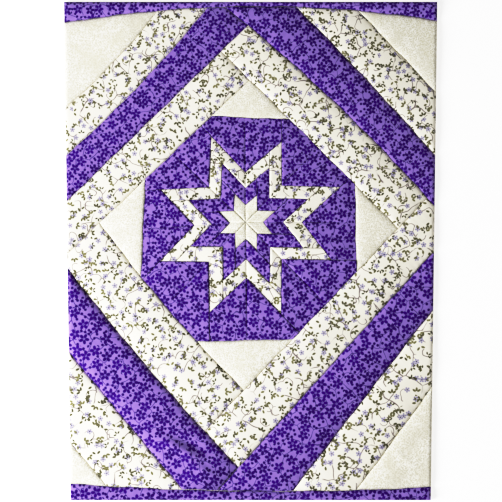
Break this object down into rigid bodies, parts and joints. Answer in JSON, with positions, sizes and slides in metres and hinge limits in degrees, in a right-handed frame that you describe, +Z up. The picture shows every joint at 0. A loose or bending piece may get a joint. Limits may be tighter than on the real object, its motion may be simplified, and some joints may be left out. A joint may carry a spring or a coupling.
{
  "type": "quilt panel",
  "caption": "Flat padded patchwork panel with a folded star set in a square on point, framed by diagonal strips, for lying on a bed, table or shelf.",
  "frame": {"origin": "centre of the underside's bounding box, on the surface that the panel lies on", "axes": "+Z up out of the pieced face, +Y along the length toward the head, +X across the width"},
  "size_m": [0.3746, 0.5, 0.0073],
  "materials": {
    "backing": "plain woven cotton, matte",
    "cream": "tone-on-tone printed cotton, matte",
    "violet": "violet calico print on cotton, matte",
    "floral": "small leaf and flower print on cream cotton, matte"
  },
  "bodies": {
    "root": {"border_violet_foot": "violet", "border_violet_head": "violet", "corner_cream_ne": "cream", "corner_cream_nw": "cream", "corner_cream_se": "cream", "corner_cream_sw": "cream", "quilt_body": "backing", "star_cream_e": "cream", "star_cream_n": "cream", "star_cream_s": "cream", "star_cream_w": "cream", "star_floral_e": "floral", "star_floral_n": "floral", "star_floral_ne": "floral", "star_floral_nw": "floral", "star_floral_s": "floral", "star_floral_se": "floral", "star_floral_sw": "floral", "star_floral_w": "floral", "star_violet_inner_e": "violet", "star_violet_inner_n": "violet", "star_violet_inner_ne": "violet", "star_violet_inner_nw": "violet", "star_violet_inner_s": "violet", "star_violet_inner_se": "violet", "star_violet_inner_sw": "violet", "star_violet_inner_w": "violet", "star_violet_outer_e": "violet", "star_violet_outer_n": "violet", "star_violet_outer_ne": "violet", "star_violet_outer_nw": "violet", "star_violet_outer_s": "violet", "star_violet_outer_se": "violet", "star_violet_outer_sw": "violet", "star_violet_outer_w": "violet", "strip_floral_inner_ne": "floral", "strip_floral_inner_nw": "floral", "strip_floral_inner_se": "floral", "strip_floral_inner_sw": "floral", "strip_floral_outer_ne": "floral", "strip_floral_outer_nw": "floral", "strip_floral_outer_se": "floral", "strip_floral_outer_sw": "floral", "strip_violet_ne": "violet", "strip_violet_nw": "violet", "strip_violet_se": "violet", "strip_violet_sw": "violet", "window_e": "cream", "window_n": "cream", "window_s": "cream", "window_w": "cream"}
  },
  "joints": []
}
